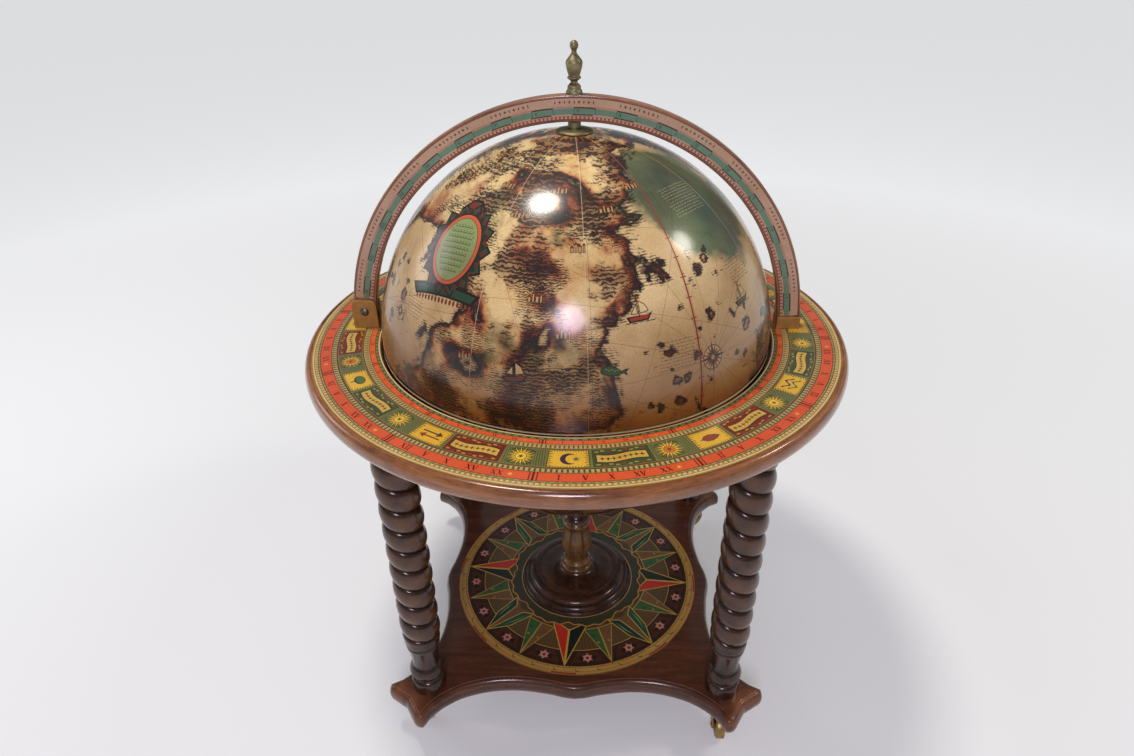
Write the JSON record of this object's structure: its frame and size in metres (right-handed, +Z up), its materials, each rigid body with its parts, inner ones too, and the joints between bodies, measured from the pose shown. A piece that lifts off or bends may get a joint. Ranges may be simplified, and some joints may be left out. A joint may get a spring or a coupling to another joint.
{
  "type": "floor globe bar",
  "caption": "Floor-standing globe bar: a lidded map globe in a printed table ring on rope-twist legs, with a low shelf on casters and a bottle insert inside.",
  "frame": {"origin": "on the floor under the middle of the globe", "axes": "+Z up, -Y the front, -X the hinge side of the lid"},
  "size_m": [0.6876, 0.6876, 0.8874],
  "materials": {
    "ring_wood": "stained red-brown hardwood under satin lacquer, lighter where the edges are worn",
    "dark_wood": "dark walnut stain under semi-gloss lacquer",
    "pale_wood": "tan-brown turned wood, satin",
    "insert_wood": "veneered board, satin",
    "ring_print": "printed bands in red-orange, ochre and green under lacquer",
    "arch_print": "printed terracotta band with a green stripe under lacquer",
    "compass_print": "printed compass rose under lacquer",
    "map_globe": "moulded wood fibre with a printed antique-style map under high-gloss lacquer",
    "aged_brass": "antique patinated brass",
    "brass": "worn brass",
    "steel": "dull zinc-plated steel"
  },
  "bodies": {
    "base": {"table_ring": "ring_wood", "bowl_support_ring": "dark_wood", "rack_post": "dark_wood", "shelf": "dark_wood", "pedestal_base": "dark_wood", "pedestal_seat": "dark_wood", "leg_front_left": "dark_wood", "leg_front_right": "dark_wood", "leg_back_right": "dark_wood", "leg_back_left": "dark_wood", "pedestal_baluster": "pale_wood", "leg_dowel_front_left": "pale_wood", "leg_dowel_front_right": "pale_wood", "leg_dowel_back_right": "pale_wood", "leg_dowel_back_left": "pale_wood", "bottle_rack": "insert_wood", "rack_floor": "insert_wood", "ring_print": "ring_print", "compass_disc": "compass_print", "lower_bowl": "map_globe", "hinge_bracket": "aged_brass", "catch_bracket": "aged_brass", "rack_knob": "brass", "hinge_bracket_screw_1": "brass", "hinge_bracket_screw_2": "brass", "catch_bracket_screw_1": "brass", "catch_bracket_screw_2": "brass", "caster_stem_front_left": "brass", "caster_stem_front_right": "brass", "caster_stem_back_right": "brass", "caster_stem_back_left": "brass", "hinge_bolt": "steel", "hinge_nut": "steel", "tie_rod": "steel"},
    "lid_arm": {"arch_core": "ring_wood", "arch_print_front": "arch_print", "arch_print_back": "arch_print", "spindle": "steel", "spindle_nut": "steel", "finial": "aged_brass"},
    "lid_dome": {"upper_dome": "map_globe", "pole_cap": "aged_brass", "dome_washer": "brass"},
    "caster_fork_front_left": {"caster_fork_front_left": "brass", "caster_axle_front_left": "brass"},
    "caster_wheel_front_left": {"caster_wheel_front_left": "brass"},
    "caster_fork_front_right": {"caster_fork_front_right": "brass", "caster_axle_front_right": "brass"},
    "caster_wheel_front_right": {"caster_wheel_front_right": "brass"},
    "caster_fork_back_right": {"caster_fork_back_right": "brass", "caster_axle_back_right": "brass"},
    "caster_wheel_back_right": {"caster_wheel_back_right": "brass"},
    "caster_fork_back_left": {"caster_fork_back_left": "brass", "caster_axle_back_left": "brass"},
    "caster_wheel_back_left": {"caster_wheel_back_left": "brass"}
  },
  "joints": [
    {"name": "lid_hinge", "type": "hinge", "parent": "base", "child": "lid_arm", "pos_m": [-0.27353, 0, 0.566], "axis": [0, -1, 0], "range_deg": [0, 95]},
    {"name": "dome_spin", "type": "hinge", "parent": "lid_arm", "child": "lid_dome", "pos_m": [0, 0, 0.79], "axis": [0, 0, 1], "continuous": true},
    {"name": "caster_swivel_front_left", "type": "hinge", "parent": "base", "child": "caster_fork_front_left", "pos_m": [-0.205, -0.205, 0.05], "axis": [0, 0, 1], "continuous": true},
    {"name": "caster_roll_front_left", "type": "hinge", "parent": "caster_fork_front_left", "child": "caster_wheel_front_left", "pos_m": [-0.221, -0.205, 0.019], "axis": [0, -1, 0], "continuous": true},
    {"name": "caster_swivel_front_right", "type": "hinge", "parent": "base", "child": "caster_fork_front_right", "pos_m": [0.205, -0.205, 0.05], "axis": [0, 0, 1], "continuous": true},
    {"name": "caster_roll_front_right", "type": "hinge", "parent": "caster_fork_front_right", "child": "caster_wheel_front_right", "pos_m": [0.205, -0.221, 0.019], "axis": [1, 0, 0], "continuous": true},
    {"name": "caster_swivel_back_right", "type": "hinge", "parent": "base", "child": "caster_fork_back_right", "pos_m": [0.205, 0.205, 0.05], "axis": [0, 0, 1], "continuous": true},
    {"name": "caster_roll_back_right", "type": "hinge", "parent": "caster_fork_back_right", "child": "caster_wheel_back_right", "pos_m": [0.21886, 0.213, 0.019], "axis": [-0.5, 0.866, 0], "continuous": true},
    {"name": "caster_swivel_back_left", "type": "hinge", "parent": "base", "child": "caster_fork_back_left", "pos_m": [-0.205, 0.205, 0.05], "axis": [0, 0, 1], "continuous": true},
    {"name": "caster_roll_back_left", "type": "hinge", "parent": "caster_fork_back_left", "child": "caster_wheel_back_left", "pos_m": [-0.21631, 0.21631, 0.019], "axis": [-0.7071, -0.7071, 0], "continuous": true}
  ]
}
